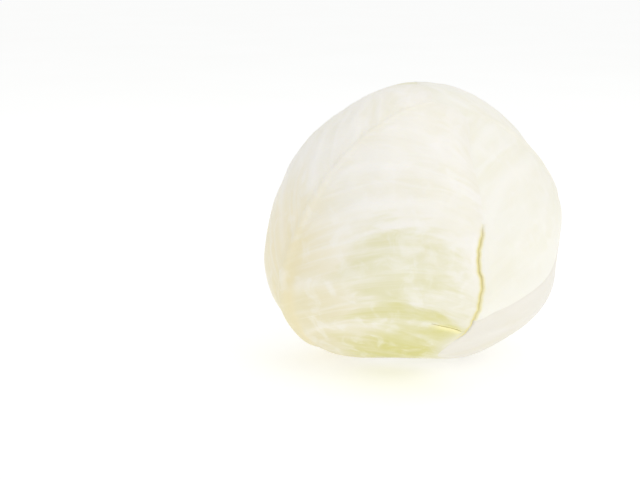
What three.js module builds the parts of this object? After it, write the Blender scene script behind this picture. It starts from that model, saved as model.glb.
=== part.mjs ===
// A white cabbage head: a cut stem, the packed heart and four wrapper leaves.
// Millimetres, +Z up. The origin is the middle of the flat spot that the head rests on.
//
// Every surface is a height over a direction d from the head's centre. A place on the head is
// given as [theta, lambda] in degrees: theta from the stem, lambda round the growth axis.

import * as THREE from 'three';

// ---- Driving dimensions -------------------------------------------------------------------

const HEAD_CENTRE = new THREE.Vector3(-9, 0, 81.5);
const HEAD_RADIUS = 85;
const BULGES = [                // spread in degrees round the head and up it
  { azimuth: -173, elevation: -28, height: 10.6, spread: [34, 19] },
  { azimuth: -6, elevation: -27, height: 8.2, spread: [36, 13] },
  { azimuth: 2, elevation: 9, height: 5, spread: [38, 11] },
  { azimuth: 50, elevation: 76, height: 3.2, spread: [20, 22] },
  { azimuth: 160, elevation: 58, height: -3.3, spread: [30, 12] },
  { azimuth: 174, elevation: 27, height: -1.8, spread: [30, 14] },
  { azimuth: -20, elevation: -68, height: 4.6, spread: [20, 15] },
  { azimuth: -74, elevation: -72, height: -6.6, spread: [14, 11] },
  { azimuth: -150, elevation: -52, height: 4.3, spread: [18, 8.5] },
];
const RESTING_BLEND = 0.5;      // how softly the skin turns into the flat resting spot

const STEM_TILT = 28.7;         // degrees from straight down
const STEM_AZIMUTH = 83.4;      // the stem points down and to the back
const STEM_CUT = 80.5;          // the cut face, from the head's centre
const STEM_CONE = 11.2;         // half angle of the core, whose point is the head's centre
const CORE_TIP = 24;            // where the core ends, from the head's centre
const STEM_HOLLOW = 11;         // how deep the head is drawn in round the stem
const STEM_HOLLOW_SPREAD = 12;  // degrees

const BLADE = 0.9;              // thickness of a leaf
const MARGIN_BLADE = 0.7;       // and at its edge
const LEAF_GAP = 1.4;           // air between two leaves
const COVER_REACH = 3;          // an inner leaf stays pressed down this far past an outer margin
const COVER_FADE = 26;          // and comes up to the skin over this distance

const RIB_HEIGHT = 4.2;         // midrib, at the leaf's base
const RIB_HEIGHT_TIP = 0.5;
const RIB_HALF_WIDTH = 13;
const RIB_HALF_WIDTH_TIP = 3;
const VEIN_HEIGHT = 0.8;
const VEINS_A_SIDE = 7;
const ROWS = 4 * VEINS_A_SIDE;  // four rows of facets for each vein
const COLUMNS_A_SIDE = 12;
const COLUMN_CROWDING = 1.15;   // over 1, the facets are narrower at the midrib
const FIRST_TURN = 55.8;        // how far the outermost leaf is turned from the front

const LEAF_BASE = 12;           // theta where every leaf leaves the stem
const MARGIN_STEPS = 72;

// Each margin is a list of [station, theta, lambda]: the station runs from 0 at the leaf's base
// to 1 at its tip, and lambda is counted from the leaf's own midrib. push says how far forward
// the veins bow, in degrees, as [station, push].
const PLAIN_PUSH = [[0, 6], [0.3, 30], [0.6, 24], [0.85, 10], [1, 12]];
const PLAIN_RIGHT = [[0, 12, 62], [0.1, 28, 86], [0.25, 52, 95], [0.42, 80, 93], [0.6, 106, 88],
  [0.78, 132, 80], [0.9, 146, 72], [1, 156, 62]];
const PLAIN_LEFT = PLAIN_RIGHT.map(([station, theta, lambda]) => [station, theta, -lambda]);

const LEAVES = [                // from the outermost leaf inwards
  {
    name: 'front_leaf',
    colour: 0xe9e7cf,
    turn: 0,
    tip: 192,
    wave: [0.3, 1.5],
    right: [[0, 12, 58], [0.06, 22, 79], [0.13, 36, 84], [0.2, 52, 73], [0.25, 64.5, 64.7],
      [0.28, 73, 68.3], [0.3, 80.3, 75.8], [0.35, 88.5, 78.9], [0.39, 95.5, 80.3],
      [0.43, 103.5, 82.2], [0.48, 113.4, 83.5], [0.56, 124, 89.8], [0.68, 132, 95],
      [0.78, 138, 98], [0.9, 146, 105], [1, 153, 117]],
    left: [[0, 12, -58], [0.08, 25, -80], [0.2, 50, -86], [0.35, 80, -85], [0.5, 105, -84],
      [0.68, 128, -90], [0.85, 143, -101], [1, 153, -117]],
    push: {
      right: [[0, 8], [0.1, 24], [0.2, 41], [0.3, 52], [0.48, 34], [0.78, 8], [1, 14]],
      left: PLAIN_PUSH,
    },
    slit: { station: 0.297, opening: 0.006, from: 0.8 },
    closeRows: [3.5, 4.5, 5.5, 6.5],   // between the rows where the veins fan out
  },
  {
    name: 'right_leaf',
    colour: 0xefeedb,
    turn: 156,
    tip: 176,
    wave: [1.5, 0],
    right: PLAIN_RIGHT,
    left: [[0, 12, -60], [0.15, 30, -90], [0.3, 50, -95], [0.45, 74, -95], [0.6, 100, -95],
      [0.75, 122, -92], [0.88, 142, -80], [1, 157, -62]],
    push: { right: PLAIN_PUSH, left: [[0, 4], [0.45, 4], [0.62, 24], [0.85, 10], [1, 12]] },
    // The lower left wing was torn off, from the margin in to the midrib.
    tear: {
      station: 0.5,
      flank: 3,
      bows: [{ lambda: -36, rise: -8.3, width: 18 }, { lambda: -70, rise: 2.4, width: 7 }],
      reach: 0.06,
    },
  },
  {
    name: 'left_leaf',
    colour: 0xeeecd6,
    turn: 275,
    tip: 174,
    wave: [1.5, 1.5],
    right: PLAIN_RIGHT,
    left: PLAIN_LEFT,
    push: { right: PLAIN_PUSH, left: PLAIN_PUSH },
  },
  {
    name: 'inner_leaf',
    colour: 0xf0ece6,
    turn: 52.5,
    tip: 172,
    wave: [1.5, 1.5],
    right: [[0, 12, 84], [0.1, 26, 98], [0.25, 50, 100], [0.42, 80, 99], [0.6, 106, 92],
      [0.78, 132, 80], [0.9, 146, 72], [1, 156, 62]],
    left: PLAIN_LEFT,
    push: { right: [[0, 12], ...PLAIN_PUSH.slice(1)], left: PLAIN_PUSH },
  },
];

const HEART_TURNS = [190, 327.5, 105, 242.5, 20];   // the folded leaves that show on the heart
const HEART_STEP = 1.1;         // how far each folded leaf stands over the next
const HEART_GAP = 0.6;          // air between the heart and the wrapper leaves, and the core
const HEART_SIDES = 36;
const HEART_ROWS = 20;
const STEM_SIDES = 36;
const LEAF_SCARS = 3;           // ridges round the stump where trimmed leaves sat
const SCAR_DEPTH = 0.5;
const CUT_BEVEL = 1.2;

// ---- Directions and small sums ------------------------------------------------------------

const radians = THREE.MathUtils.degToRad;
const { clamp, lerp, smoothstep } = THREE.MathUtils;

function fromAngles(azimuth, elevation) {
  const [a, e] = [radians(azimuth), radians(elevation)];
  return new THREE.Vector3(Math.cos(e) * Math.cos(a), Math.cos(e) * Math.sin(a), Math.sin(e));
}

function gaussian(d, middle, spread) {
  return Math.exp((d.dot(middle) - 1) / radians(spread) ** 2);
}

const STEM = fromAngles(STEM_AZIMUTH, STEM_TILT - 90);
const FRONT = new THREE.Vector3(0, -1, 0).projectOnPlane(STEM).normalize();

// The growth axis, the midrib's direction and the leaf's right-hand side.
function leafFrame(turn) {
  const rib = FRONT.clone().applyAxisAngle(STEM, radians(FIRST_TURN - turn));
  return { rib, side: new THREE.Vector3().crossVectors(rib, STEM) };
}

function place(frame, theta, lambda) {
  const [t, l] = [radians(theta), radians(lambda)];
  return STEM.clone().multiplyScalar(Math.cos(t))
    .addScaledVector(frame.rib, Math.sin(t) * Math.cos(l))
    .addScaledVector(frame.side, Math.sin(t) * Math.sin(l));
}

// A smooth line through knots [station, value...], read at a station.
function alongKnots(knots, station) {
  const last = knots.length - 2;
  let k = 0;
  while (k < last && station > knots[k + 1][0]) k += 1;
  const ends = [knots[Math.max(k - 1, 0)], knots[k], knots[k + 1], knots[Math.min(k + 2, last + 1)]];
  const u = clamp((station - ends[1][0]) / (ends[2][0] - ends[1][0]), 0, 1);
  return ends[1].slice(1).map((from, i) => {
    const to = ends[2][i + 1];
    const before = ends[0][i + 1];
    const after = ends[3][i + 1];
    return from + 0.5 * u * (to - before + u * (2 * before - 5 * from + 4 * to - after
      + u * (3 * (from - to) + after - before)));
  });
}

function smoothMin(a, b, blend) {
  const h = Math.max(blend - Math.abs(a - b), 0) / blend;
  return Math.min(a, b) - h * h * blend / 4;
}

// ---- The head's outer form ----------------------------------------------------------------

const bulges = BULGES.map(bulge => ({
  ...bulge,
  middle: fromAngles(bulge.azimuth, bulge.elevation),
  around: fromAngles(bulge.azimuth + 90, 0),
  up: fromAngles(bulge.azimuth, bulge.elevation + 90),
}));

function bulgeHeight(bulge, d) {
  const ahead = d.dot(bulge.middle);
  if (ahead <= 0) return 0;
  const around = Math.atan2(d.dot(bulge.around), ahead) / radians(bulge.spread[0]);
  const up = Math.atan2(d.dot(bulge.up), ahead) / radians(bulge.spread[1]);
  return bulge.height * Math.exp(-(around ** 2 + up ** 2) / 2) * smoothstep(ahead, 0, 0.3);
}

function skinRadius(d) {
  let radius = HEAD_RADIUS - STEM_HOLLOW * gaussian(d, STEM, STEM_HOLLOW_SPREAD);
  for (const bulge of bulges) radius += bulgeHeight(bulge, d);
  return radius;
}

// A height over the head's centre, kept above the surface that the head stands on.
function onFloor(d, radius, depth) {
  if (d.z > -0.2) return radius;
  return smoothMin(radius, (HEAD_CENTRE.z - depth) / -d.z, RESTING_BLEND);
}

// ---- Leaf outlines ------------------------------------------------------------------------

function margin(leaf, frame, station, hand) {
  const knots = hand > 0 ? leaf.right : leaf.left;
  const [theta, lambda] = alongKnots(knots, station);
  const wave = leaf.wave[hand > 0 ? 0 : 1] * Math.sin(2 * Math.PI * (5.5 * station + leaf.turn / 90));
  return place(frame, theta, lambda + hand * wave * Math.sin(Math.PI * station));
}

// The direction of the leaf at a station along its midrib and across it, from -1 to 1. A row
// is a bowed arc from the midrib to the margin, and the side veins run along the rows.
function leafPoint(leaf, frame, station, across) {
  const hand = across < 0 ? -1 : 1;
  const t = Math.abs(across);
  const start = place(frame, lerp(LEAF_BASE, leaf.tip, station), 0);
  const end = margin(leaf, frame, station, hand);
  const bow = start.clone().add(end).normalize();
  const [push] = alongKnots(hand > 0 ? leaf.push.right : leaf.push.left, station);
  bow.applyAxisAngle(frame.side, radians(-push));
  const d = start.multiplyScalar((1 - t) ** 2).addScaledVector(bow, 2 * t * (1 - t))
    .addScaledVector(end, t * t).normalize();
  if (!leaf.tear || hand > 0) return d;
  const nearness = Math.exp(-(((station - leaf.tear.station) / leaf.tear.reach) ** 2));
  const lambda = THREE.MathUtils.radToDeg(Math.atan2(d.dot(frame.side), d.dot(frame.rib)));
  const rise = leaf.tear.bows.reduce(
    (sum, bend) => sum + bend.rise * Math.exp(-(((lambda - bend.lambda) / bend.width) ** 2)), 0);
  return d.applyAxisAngle(frame.side, radians(-rise * nearness));
}

function acrossAt(column) {
  return Math.sign(column) * (Math.abs(column) / COLUMNS_A_SIDE) ** COLUMN_CROWDING;
}

// The stations and places across that bound the leaf, one after another.
function outlineCorners(leaf) {
  if (!leaf.tear) return [[0, -1], [0, 1], [1, 1], [1, -1]];
  const flank = acrossAt(-leaf.tear.flank);
  return [[0, flank], [0, 1], [1, 1], [1, -1], [leaf.tear.station, -1], [leaf.tear.station, flank]];
}

function outline(leaf, frame) {
  const corners = outlineCorners(leaf);
  const points = [];
  corners.forEach((corner, k) => {
    const next = corners[(k + 1) % corners.length];
    for (let i = 0; i < MARGIN_STEPS; i += 1) {
      const u = i / MARGIN_STEPS;
      points.push(leafPoint(leaf, frame, lerp(corner[0], next[0], u), lerp(corner[1], next[1], u)));
    }
  });
  return points;
}

// Distance in millimetres from a leaf's outline, below zero inside the leaf.
function outlineDistance(leaf, d) {
  const flat = v => {
    const off = v.clone().addScaledVector(leaf.middle, -v.dot(leaf.middle));
    const angle = Math.acos(clamp(v.dot(leaf.middle), -1, 1));
    off.setLength(angle);
    return [off.dot(leaf.axisU), off.dot(leaf.axisV)];
  };
  leaf.flatEdge ??= leaf.edge.map(flat);
  const [x, y] = flat(d);
  let inside = false;
  let nearest = Infinity;
  const segment = new THREE.Line3();
  const closest = new THREE.Vector3();
  leaf.edge.forEach((point, k) => {
    const n = (k + 1) % leaf.edge.length;
    const [x1, y1] = leaf.flatEdge[k];
    const [x2, y2] = leaf.flatEdge[n];
    if ((y1 > y) !== (y2 > y) && x < (x2 - x1) * (y - y1) / (y2 - y1) + x1) inside = !inside;
    segment.set(point, leaf.edge[n]).closestPointToPoint(d, true, closest);
    nearest = Math.min(nearest, closest.distanceToSquared(d));
  });
  return (inside ? -1 : 1) * Math.sqrt(nearest) * HEAD_RADIUS;
}

function prepared(leaf) {
  const frame = leafFrame(leaf.turn);
  const middle = place(frame, 92, 0);
  const axisV = place(frame, 182, 0);
  return { ...leaf, frame, middle, axisV, axisU: frame.side, edge: outline(leaf, frame) };
}

// 1 under the leaf, falling to 0 away from its margin.
function cover(leaf, d) {
  return 1 - smoothstep(outlineDistance(leaf, d), COVER_REACH, COVER_REACH + COVER_FADE);
}

// ---- Meshes -------------------------------------------------------------------------------

function meshOf(name, colour, roughness, points, triangles) {
  const geometry = new THREE.BufferGeometry();
  geometry.setAttribute('position', new THREE.Float32BufferAttribute(points.flatMap(p => p.toArray()), 3));
  geometry.setIndex(triangles.flat());
  geometry.computeVertexNormals();
  const material = new THREE.MeshStandardMaterial({ color: colour, roughness, metalness: 0 });
  const mesh = new THREE.Mesh(geometry, material);
  mesh.name = name;
  return mesh;
}

function volumeSign(points, triangles) {
  const sum = triangles.reduce((total, [a, b, c]) => total
    + points[a].dot(new THREE.Vector3().crossVectors(points[b], points[c])), 0);
  return Math.sign(sum);
}

function facingOut(points, triangles) {
  return volumeSign(points, triangles) > 0 ? triangles : triangles.map(([a, b, c]) => [a, c, b]);
}

// A closed body from rings of points, with a pole before the first and after the last ring.
function ringBody(name, colour, roughness, firstPole, rings, lastPole) {
  const sides = rings[0].length;
  const points = [firstPole, ...rings.flat(), lastPole];
  const at = (ring, side) => 1 + ring * sides + (side % sides);
  const triangles = [];
  for (let side = 0; side < sides; side += 1) {
    triangles.push([0, at(0, side), at(0, side + 1)]);
    for (let ring = 0; ring < rings.length - 1; ring += 1) {
      const [a, b] = [at(ring, side), at(ring, side + 1)];
      const [c, d] = [at(ring + 1, side), at(ring + 1, side + 1)];
      triangles.push([a, c, b], [b, c, d]);
    }
    triangles.push([points.length - 1, at(rings.length - 1, side + 1), at(rings.length - 1, side)]);
  }
  return meshOf(name, colour, roughness, points, facingOut(points, triangles));
}

function pointAt(d, radius) {
  return HEAD_CENTRE.clone().addScaledVector(d, radius);
}

// ---- Wrapper leaves -----------------------------------------------------------------------

// How far the midrib and the side veins stand up at a place on the leaf.
function relief(station, across, fromRib) {
  const ribWidth = lerp(RIB_HALF_WIDTH_TIP, RIB_HALF_WIDTH, (1 - station) ** 1.2);
  const ribHeight = lerp(RIB_HEIGHT_TIP, RIB_HEIGHT, (1 - station) ** 1.6);
  const rib = ribHeight * Math.max(0, 1 - (fromRib / ribWidth) ** 2) ** 2;
  const turns = station * VEINS_A_SIDE + (across < 0 ? 0.5 : 0);
  const offVein = Math.abs(turns - Math.round(turns));
  const ends = smoothstep(station, 0.02, 0.12) * (1 - smoothstep(station, 0.85, 1));
  const vein = VEIN_HEIGHT * ends * (1 - Math.abs(across)) ** 0.7 * Math.exp(-((offVein / 0.17) ** 2));
  return Math.max(rib, vein);
}

function leafRows(leaf) {
  const stations = Array.from({ length: ROWS + 1 }, (_, i) => i / ROWS);
  const extra = (leaf.closeRows ?? []).map(row => row / ROWS);
  if (leaf.tear) extra.push(leaf.tear.station);
  if (leaf.slit) {
    const { station, opening } = leaf.slit;
    extra.push(station - opening / 2, station + opening / 2);
  }
  const kept = stations.filter(s => extra.every(e => Math.abs(s - e) > 0.15 / ROWS));
  return [...kept, ...extra].sort((a, b) => a - b);
}

// Whether the leaf has blade between two neighbouring rows, left of a column.
function hasBlade(leaf, stations, row, column) {
  const middle = (stations[row] + stations[row + 1]) / 2;
  if (leaf.slit && Math.abs(middle - leaf.slit.station) < leaf.slit.opening / 2) {
    return acrossAt(column - 1) < leaf.slit.from;
  }
  if (leaf.tear && middle < leaf.tear.station) return column > -leaf.tear.flank;
  return true;
}

function buildLeaf(leaf, outerLeaves) {
  const stations = leafRows(leaf);
  const columns = 2 * COLUMNS_A_SIDE + 1;
  const outer = [];
  const inner = [];
  for (const station of stations) {
    const rib = leafPoint(leaf, leaf.frame, station, 0);
    for (let c = 0; c < columns; c += 1) {
      const across = acrossAt(c - COLUMNS_A_SIDE);
      const d = leafPoint(leaf, leaf.frame, station, across);
      const covers = outerLeaves.map(other => cover(other, d));
      const depth = covers.reduce((sum, amount) => sum + amount * (BLADE + LEAF_GAP), 0);
      const bare = 1 - Math.max(0, ...covers);
      const raised = relief(station, across, d.distanceTo(rib) * HEAD_RADIUS) * bare;
      const thin = (BLADE - MARGIN_BLADE) * smoothstep(Math.abs(across), 0.85, 1);
      const skin = skinRadius(d) - depth;
      outer.push(pointAt(d, onFloor(d, skin + raised - thin, depth)));
      inner.push(pointAt(d, onFloor(d, skin, depth) - BLADE));
    }
  }
  const points = [...outer, ...inner];
  const under = outer.length;
  const at = (row, column) => row * columns + column;
  const triangles = [];
  const edges = new Map();
  const walk = (from, to) => {
    const back = `${to}>${from}`;
    if (edges.has(back)) edges.delete(back);
    else edges.set(`${from}>${to}`, [from, to]);
  };
  for (let row = 0; row < stations.length - 1; row += 1) {
    for (let c = 0; c < columns - 1; c += 1) {
      if (!hasBlade(leaf, stations, row, c - COLUMNS_A_SIDE + 1)) continue;
      const [a, b, e, f] = [at(row, c), at(row, c + 1), at(row + 1, c + 1), at(row + 1, c)];
      const halves = c < COLUMNS_A_SIDE ? [[a, b, e], [a, e, f]] : [[a, b, f], [b, e, f]];
      for (const [p, q, r] of halves) triangles.push([p, q, r], [under + p, under + r, under + q]);
      [[a, b], [b, e], [e, f], [f, a]].forEach(([p, q]) => walk(p, q));
    }
  }
  for (const [from, to] of edges.values()) {
    triangles.push([to, from, under + from], [to, under + from, under + to]);
  }
  const used = [...new Set(triangles.flat())].sort((a, b) => a - b);
  const renumbered = new Map(used.map((index, k) => [index, k]));
  const kept = used.map(index => points[index]);
  const closed = triangles.map(triangle => triangle.map(index => renumbered.get(index)));
  return meshOf(leaf.name, leaf.colour, 0.45, kept, facingOut(kept, closed));
}

// ---- Heart --------------------------------------------------------------------------------

// The wrapper leaves lie on the heart, and its own folded leaves step down one by one.
function buildHeart(wrappers) {
  const frame = leafFrame(0);
  const folded = HEART_TURNS.map(turn => prepared({ ...LEAVES[2], turn, tip: 170 }));
  const socket = STEM_CONE + 1.2;
  const rings = [];
  const ring = (theta, radiusOf) => Array.from({ length: HEART_SIDES }, (_, side) => {
    const d = place(frame, theta, 360 * side / HEART_SIDES);
    return pointAt(d, radiusOf(d));
  });
  const surface = d => {
    const depth = wrappers.reduce((sum, leaf) => sum + cover(leaf, d) * (BLADE + LEAF_GAP), 0);
    const steps = folded.filter(leaf => outlineDistance(leaf, d) > 0).length;
    return onFloor(d, skinRadius(d) - depth, depth) - HEART_GAP - HEART_STEP * steps;
  };
  const tip = CORE_TIP - HEART_GAP;
  rings.push(ring(socket, () => tip / Math.cos(radians(socket))));
  rings.push(ring(socket, d => lerp(tip, surface(d), 0.5)));
  for (let row = 0; row < HEART_ROWS; row += 1) {
    rings.push(ring(lerp(socket, 180, row / HEART_ROWS), surface));
  }
  const crown = STEM.clone().negate();
  return ringBody('heart', 0xf1efd8, 0.5, pointAt(STEM, tip), rings, pointAt(crown, surface(crown)));
}

// ---- Stem ---------------------------------------------------------------------------------

function buildStem() {
  const frame = leafFrame(0);
  const slope = Math.tan(radians(STEM_CONE));
  const ring = (along, radius, scar = 0) => Array.from({ length: STEM_SIDES }, (_, side) => {
    const angle = 2 * Math.PI * side / STEM_SIDES;
    const out = radius - scar * (0.5 + 0.5 * Math.sin(3 * angle + along));
    return HEAD_CENTRE.clone().addScaledVector(STEM, along)
      .addScaledVector(frame.rib, out * Math.cos(angle))
      .addScaledVector(frame.side, out * Math.sin(angle));
  });
  const rings = [ring(STEM_CUT, STEM_CUT * slope * 0.5), ring(STEM_CUT, STEM_CUT * slope - CUT_BEVEL)];
  rings.push(ring(STEM_CUT - CUT_BEVEL, (STEM_CUT - CUT_BEVEL) * slope));
  for (let scar = 1; scar <= 2 * LEAF_SCARS; scar += 1) {
    const along = STEM_CUT - CUT_BEVEL - 2.2 * scar;
    rings.push(ring(along, along * slope, scar % 2 ? SCAR_DEPTH : 0));
  }
  for (const along of [50, 38, CORE_TIP + 3]) rings.push(ring(along, along * slope));
  rings.push(ring(CORE_TIP, CORE_TIP * slope * 0.5));
  const [cut, tip] = [STEM_CUT, CORE_TIP].map(along => HEAD_CENTRE.clone().addScaledVector(STEM, along));
  return ringBody('stem', 0xe6e0c0, 0.6, cut, rings, tip);
}

// ---- The head -----------------------------------------------------------------------------

const wrappers = LEAVES.map(prepared);
const group = new THREE.Group();
group.name = 'cabbage_head';
group.add(buildStem(), buildHeart(wrappers));
wrappers.forEach((leaf, k) => group.add(buildLeaf(leaf, wrappers.slice(0, k))));

export default group;
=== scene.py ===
import math

import bmesh
import bpy
import numpy as np
from mathutils import Matrix, Vector, kdtree, noise


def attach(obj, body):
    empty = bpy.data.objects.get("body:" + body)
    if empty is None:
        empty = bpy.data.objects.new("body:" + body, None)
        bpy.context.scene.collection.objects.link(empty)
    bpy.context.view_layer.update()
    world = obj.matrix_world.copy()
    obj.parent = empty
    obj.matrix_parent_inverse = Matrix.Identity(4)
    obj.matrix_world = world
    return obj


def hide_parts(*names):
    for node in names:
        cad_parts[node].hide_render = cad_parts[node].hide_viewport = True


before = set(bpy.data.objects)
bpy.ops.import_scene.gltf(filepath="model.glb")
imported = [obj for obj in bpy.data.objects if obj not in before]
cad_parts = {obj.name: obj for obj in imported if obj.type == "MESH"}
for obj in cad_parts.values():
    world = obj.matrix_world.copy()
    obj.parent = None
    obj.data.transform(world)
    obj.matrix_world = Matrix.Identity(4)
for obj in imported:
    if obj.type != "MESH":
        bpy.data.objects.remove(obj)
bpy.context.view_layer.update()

# ---- Stem ---------------------------------------------------------------------------------
# The stump is the lower end of the core that every leaf grows from: pale, woody and solid.
# A knife took it off the root straight across, so rings of sap vessels show on the cut face,
# which has dried at the rim, and the scars of trimmed leaves run round the side.

MM = 0.001
HEAD_CENTRE = np.array([-9, 0, 81.5])   # millimetres, as every length here until a mesh is made
STEM_TILT = 28.7         # degrees off straight down
STEM_AZIMUTH = 83.4      # degrees from +X round towards +Y, the back
STEM_CUT = 80.5          # from the head's centre to the cut face
STEM_CONE = 11.2         # degrees between the core's middle line and its side
CORE_TIP = 24            # from the head's centre to the core's narrow end
STEM_SIDES = 144
CUT_BEVEL = 1.2
CUT_INSET = 0.2          # the face lies this far inside the plain solid's
PITH_RADIUS = 7.5
PITH_HOLLOW = 0.5
KNIFE_MARK = 0.16
SCAR_DEPTH = 0.55
SCAR_PITCH = 4.4
SCARS_START = 55         # from the head's centre to where the scars begin, and where they are whole
SCARS_WHOLE = 62


def from_angles(azimuth, elevation):
    a, e = math.radians(azimuth), math.radians(elevation)
    return np.array([math.cos(e) * math.cos(a), math.cos(e) * math.sin(a), math.sin(e)])


def unit(vectors):
    return vectors / np.linalg.norm(vectors, axis=-1, keepdims=True)


def smoothstep(value, start, end):
    t = np.clip((value - start) / (end - start), 0, 1)
    return t * t * (3 - 2 * t)


def sheet_object(name, points, faces, **layers):
    """A smooth mesh in metres, with a number for each point in each named layer."""
    mesh = bpy.data.meshes.new(name)
    mesh.from_pydata((np.asarray(points) * MM).tolist(), [], faces)
    for layer, values in layers.items():
        attribute = mesh.attributes.new(layer, "FLOAT", "POINT")
        attribute.data.foreach_set("value", np.asarray(values, dtype=np.float32))
    mesh.polygons.foreach_set("use_smooth", [True] * len(mesh.polygons))
    mesh.update()
    thing = bpy.data.objects.new(name, mesh)
    bpy.context.collection.objects.link(thing)
    return thing


def ring_object(name, first, rings, last):
    """A closed body from rings of points between two poles."""
    sides = len(rings[0])
    points = np.vstack([[first], *rings, [last]])
    end = len(points) - 1
    faces = []
    for side in range(sides):
        after = (side + 1) % sides
        faces.append((0, 1 + side, 1 + after))
        faces.append((end, end - sides + after, end - sides + side))
        for ring in range(len(rings) - 1):
            here = 1 + ring * sides
            faces.append((here + side, here + sides + side, here + sides + after, here + after))
    middle = points.mean(axis=0)
    a, b, c = (points[[face[k] for face in faces]] - middle for k in range(3))
    if np.einsum("ij,ij->i", a, np.cross(b, c)).sum() < 0:
        faces = [face[::-1] for face in faces]
    return sheet_object(name, points, faces)


class Wire:
    """A socket in a node tree that takes part in sums."""

    def __init__(self, tree, socket=None):
        self.tree = tree
        self.socket = socket

    def node(self, kind, settings=None, sockets=None, output=0):
        """A new node: its settings first, then the value or the wire for each socket."""
        made = self.tree.nodes.new(kind)
        for key, value in (settings or {}).items():
            setattr(made, key, value)
        for key, value in (sockets or {}).items():
            matches = [s for s in made.inputs if key in (s.identifier, s.name)]
            into = made.inputs[key] if isinstance(key, int) else matches[0]
            if isinstance(value, Wire):
                self.tree.links.new(value.socket, into)
            else:
                into.default_value = value
        out = made.outputs[output] if made.outputs else None
        return Wire(self.tree, out)

    def maths(self, operation, *values):
        return self.node("ShaderNodeMath", {"operation": operation}, dict(enumerate(values)))

    def __add__(self, other):
        return self.maths("ADD", self, other)

    def __radd__(self, other):
        return self.maths("ADD", other, self)

    def __sub__(self, other):
        return self.maths("SUBTRACT", self, other)

    def __rsub__(self, other):
        return self.maths("SUBTRACT", other, self)

    def __mul__(self, other):
        return self.maths("MULTIPLY", self, other)

    def __rmul__(self, other):
        return self.maths("MULTIPLY", other, self)

    def __truediv__(self, other):
        return self.maths("DIVIDE", self, other)

    def sine(self):
        """The sine of this wire."""
        return self.maths("SINE", self)

    def step(self, start, end):
        """0 below the start, 1 above the end, and smooth between them."""
        return self.node("ShaderNodeMapRange", {"interpolation_type": "SMOOTHSTEP"},
                         {"Value": self, "From Min": start, "From Max": end})

    def blend(self, colour, other):
        """One colour where this wire is 0 and the other where it is 1."""
        return self.node("ShaderNodeMix", {"data_type": "RGBA"},
                         {"Factor_Float": self, "A_Color": colour, "B_Color": other}, 2)

    def scaled(self, factors):
        """A vector with each part multiplied."""
        return self.node("ShaderNodeVectorMath", {"operation": "MULTIPLY"}, {0: self, 1: factors})

    def noise(self, scale, detail=2.0, roughness=0.5, distortion=0.0):
        """Clouds at this place, with the scale in clouds for each unit."""
        return self.node("ShaderNodeTexNoise", {}, {
            "Vector": self, "Scale": scale, "Detail": detail, "Roughness": roughness,
            "Distortion": distortion})

    def distance(self, point):
        """Metres from this place to a point."""
        return self.node("ShaderNodeVectorMath", {"operation": "DISTANCE"}, {0: self, 1: point}, "Value")


def paint(red, green, blue):
    """A colour given in 8-bit sRGB, as the shader wants it."""
    def linear(value):
        value /= 255
        return value / 12.92 if value <= 0.04045 else ((value + 0.055) / 1.055) ** 2.4
    return (linear(red), linear(green), linear(blue), 1.0)


def new_finish(name):
    material = bpy.data.materials.new(name)
    material.use_nodes = True
    material.node_tree.nodes.clear()
    return material, Wire(material.node_tree)


def close_finish(wire, colour, roughness, height, subsurface, depth, rise):
    """Ends a material in the one shader that all of the head has: moist flesh that light enters
    to a depth in metres, with a fine grain that rises by so many metres."""
    normal = wire.node("ShaderNodeBump", {}, {"Strength": 1.0, "Distance": rise, "Height": height})
    shader = wire.node("ShaderNodeBsdfPrincipled", {"subsurface_method": "RANDOM_WALK"}, {
        "Base Color": colour, "Roughness": roughness, "Normal": normal, "IOR": 1.42,
        "Subsurface Weight": subsurface, "Subsurface Radius": (1.0, 0.82, 0.45),
        "Subsurface Scale": depth})
    wire.node("ShaderNodeOutputMaterial", {}, {"Surface": shader})


STEM = from_angles(STEM_AZIMUTH, STEM_TILT - 90)
FRONT = unit(np.array([0, -1, 0]) + STEM[1] * STEM)
STEM_SIDE = np.cross(FRONT, STEM)

slope = math.tan(math.radians(STEM_CONE))
angles = np.linspace(0, 2 * np.pi, STEM_SIDES, endpoint=False)


def stem_ring(along, radius):
    """Points round the stem, so far along it and so far from its middle line."""
    return (HEAD_CENTRE + np.asarray(along)[..., None] * STEM
            + (radius * np.cos(angles))[:, None] * FRONT + (radius * np.sin(angles))[:, None] * STEM_SIDE)


rings = []
face_radius = STEM_CUT * slope - CUT_BEVEL
side_start = STEM_CUT - CUT_BEVEL
# The cut face, from its middle out, with the hollow over the pith and the waves of the knife.
for part in np.linspace(0.06, 1, 22):
    radius = part * face_radius
    hollow = PITH_HOLLOW * (1 - smoothstep(radius, PITH_RADIUS - 3, PITH_RADIUS + 1.5))
    knife = KNIFE_MARK * np.sin(1.395 * radius * np.cos(angles - 0.6) + 0.8 * np.sin(2 * angles))
    rings.append(stem_ring(STEM_CUT - CUT_INSET - hollow + knife * min(1, 2.2 * (1 - part)),
                           np.full_like(angles, radius)))
# The worn edge between the face and the side.
for part in np.linspace(0.25, 1, 4):
    turn = part * np.pi / 2
    rings.append(stem_ring(side_start + (CUT_BEVEL - CUT_INSET) * np.cos(turn),
                           face_radius + CUT_BEVEL * np.sin(turn) * 0.98
                           + 0.12 * np.sin(7 * angles + 1.3) * part))
# The side, with leaf scars that run round it as a screw's thread does.
for along in np.linspace(side_start - 0.7, CORE_TIP, 76)[:-1]:
    turns = (side_start - along) / SCAR_PITCH
    worn = smoothstep(along, SCARS_START, SCARS_WHOLE)
    scar = SCAR_DEPTH * worn * np.maximum(0, np.sin(2 * np.pi * turns + angles)) ** 3
    rings.append(stem_ring(along, along * slope - scar + 0.1 * worn * np.sin(11 * angles + 0.7 * along)))
stem = ring_object("stem_stump", HEAD_CENTRE + (STEM_CUT - CUT_INSET - PITH_HOLLOW) * STEM, rings,
                   HEAD_CENTRE + CORE_TIP * STEM)

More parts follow.
